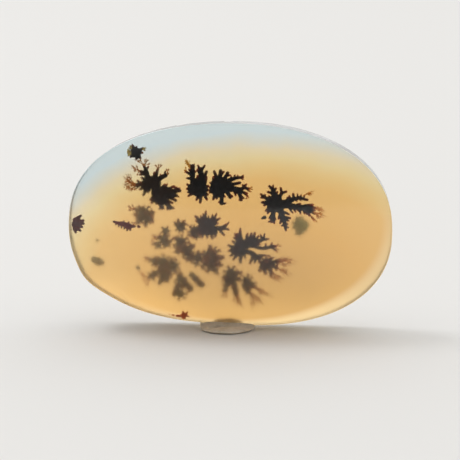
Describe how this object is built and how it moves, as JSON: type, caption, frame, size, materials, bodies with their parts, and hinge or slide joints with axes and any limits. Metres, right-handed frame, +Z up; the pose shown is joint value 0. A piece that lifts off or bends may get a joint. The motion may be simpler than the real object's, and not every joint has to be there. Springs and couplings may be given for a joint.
{
  "type": "dendritic agate cabochon",
  "caption": "Polished oval agate with a domed face and flat back, holding dark fern-like mineral growths, stood on its long edge in a small putty pad.",
  "frame": {"origin": "on the surface that the putty rests on, under the middle of the whole object", "axes": "+X along the stone's long axis, +Y from the domed face to the flat back, +Z up"},
  "size_m": [0.03, 0.0061, 0.0194],
  "materials": {
    "polished_agate": "translucent, polished",
    "manganese_moss": "dull mineral growth",
    "pale_putty": "matt, hand-pressed"
  },
  "bodies": {
    "root": {"agate_front": "polished_agate", "agate_back": "polished_agate", "spray_centre": "manganese_moss", "spray_deep_centre": "manganese_moss", "spray_deep_cloud_left": "manganese_moss", "spray_deep_left": "manganese_moss", "spray_deep_lower_left": "manganese_moss", "spray_deep_lower_middle": "manganese_moss", "spray_deep_lower_right": "manganese_moss", "spray_deep_lower_right_lobe": "manganese_moss", "spray_deep_lower_streak": "manganese_moss", "spray_deep_upper_left": "manganese_moss", "spray_hedgehog_top_left": "manganese_moss", "spray_left_bush": "manganese_moss", "spray_lower_centre": "manganese_moss", "spray_lower_right_lobe": "manganese_moss", "spray_round_bud": "manganese_moss", "spray_upper_left": "manganese_moss", "spray_upper_middle_left": "manganese_moss", "spray_upper_middle_right": "manganese_moss", "spray_upper_right": "manganese_moss", "putty_rest": "pale_putty"}
  },
  "joints": []
}
